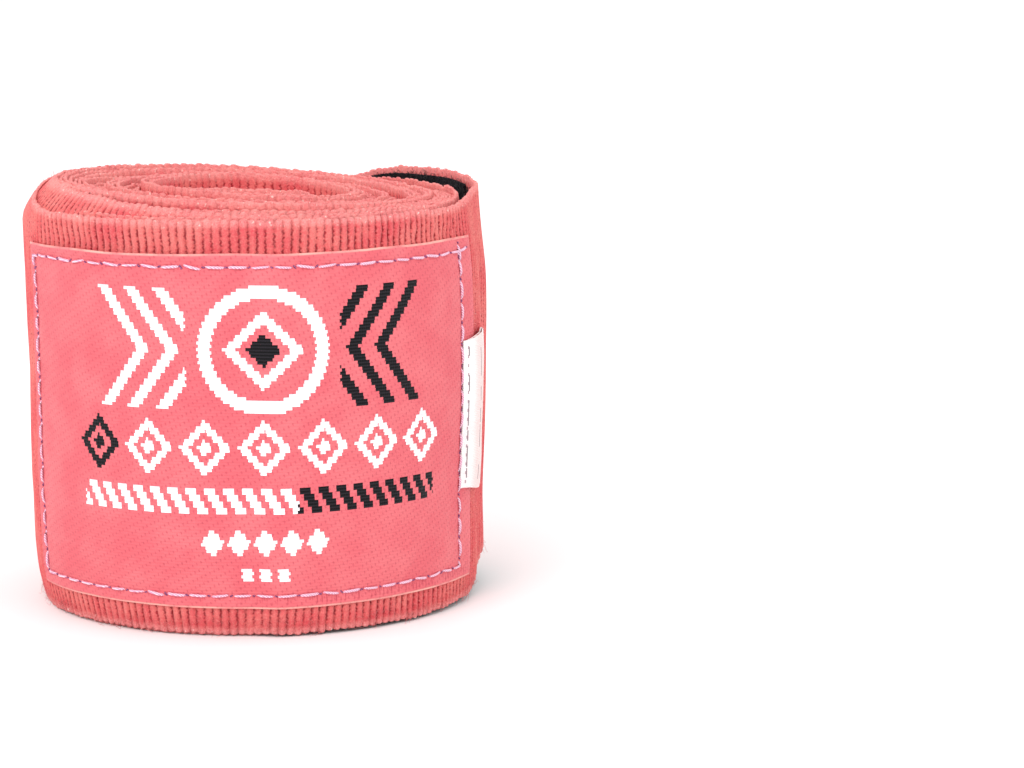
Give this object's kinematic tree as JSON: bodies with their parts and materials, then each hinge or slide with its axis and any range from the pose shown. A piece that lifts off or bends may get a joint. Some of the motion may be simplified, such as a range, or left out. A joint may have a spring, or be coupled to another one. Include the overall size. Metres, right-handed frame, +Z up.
{
  "type": "hand wrap",
  "caption": "Rolled elastic boxing hand wrap with a woven label, care tag, thumb loop and a peelable hook-and-loop closure tab.",
  "frame": {"origin": "on the surface that the roll stands on, under the middle of the whole part's box", "axes": "+Z up along the roll's axis; -Y out of the middle of the woven label; +X to the right seen from the label's side"},
  "size_m": [0.06, 0.0626, 0.0538],
  "materials": {
    "ribbed_band": "ribbed elastic cotton knit, matte",
    "hook_and_loop": "black fuzzy hook-and-loop",
    "label_satin": "woven satin, soft sheen",
    "sewing_thread": "glossy polyester thread",
    "tag_satin": "white nylon satin, soft sheen"
  },
  "bodies": {
    "roll": {"wrap_band": "ribbed_band", "loop_patch": "hook_and_loop", "woven_label": "label_satin", "label_thread": "sewing_thread", "thumb_loop": "ribbed_band"},
    "tab_root": {"closure_tab_root": "ribbed_band", "hook_patch_root": "hook_and_loop", "tab_thread_root": "sewing_thread"},
    "tab_middle": {"closure_tab_middle": "ribbed_band", "hook_patch_middle": "hook_and_loop", "tab_thread_middle_upper": "sewing_thread", "tab_thread_middle_lower": "sewing_thread"},
    "tab_end": {"closure_tab_end": "ribbed_band", "hook_patch_end": "hook_and_loop", "tab_thread_end": "sewing_thread"},
    "care_tag": {"care_tag": "tag_satin"}
  },
  "joints": [
    {"name": "tab_peel_root", "type": "hinge", "parent": "roll", "child": "tab_root", "pos_m": [0.02972, 0.00428, 0.025], "axis": [0, 0, -1], "range_deg": [0, 50]},
    {"name": "tab_peel_middle", "type": "hinge", "parent": "tab_root", "child": "tab_middle", "pos_m": [0.01727, 0.02473, 0.025], "axis": [0, 0, -1], "range_deg": [0, 40]},
    {"name": "tab_peel_end", "type": "hinge", "parent": "tab_middle", "child": "tab_end", "pos_m": [-0.00605, 0.0304, 0.025], "axis": [0, 0, -1], "range_deg": [0, 40]},
    {"name": "tag_flap", "type": "hinge", "parent": "roll", "child": "care_tag", "pos_m": [0.02759, -0.01301, 0.02495], "axis": [0, 0, -1], "range_deg": [0, 120]}
  ]
}
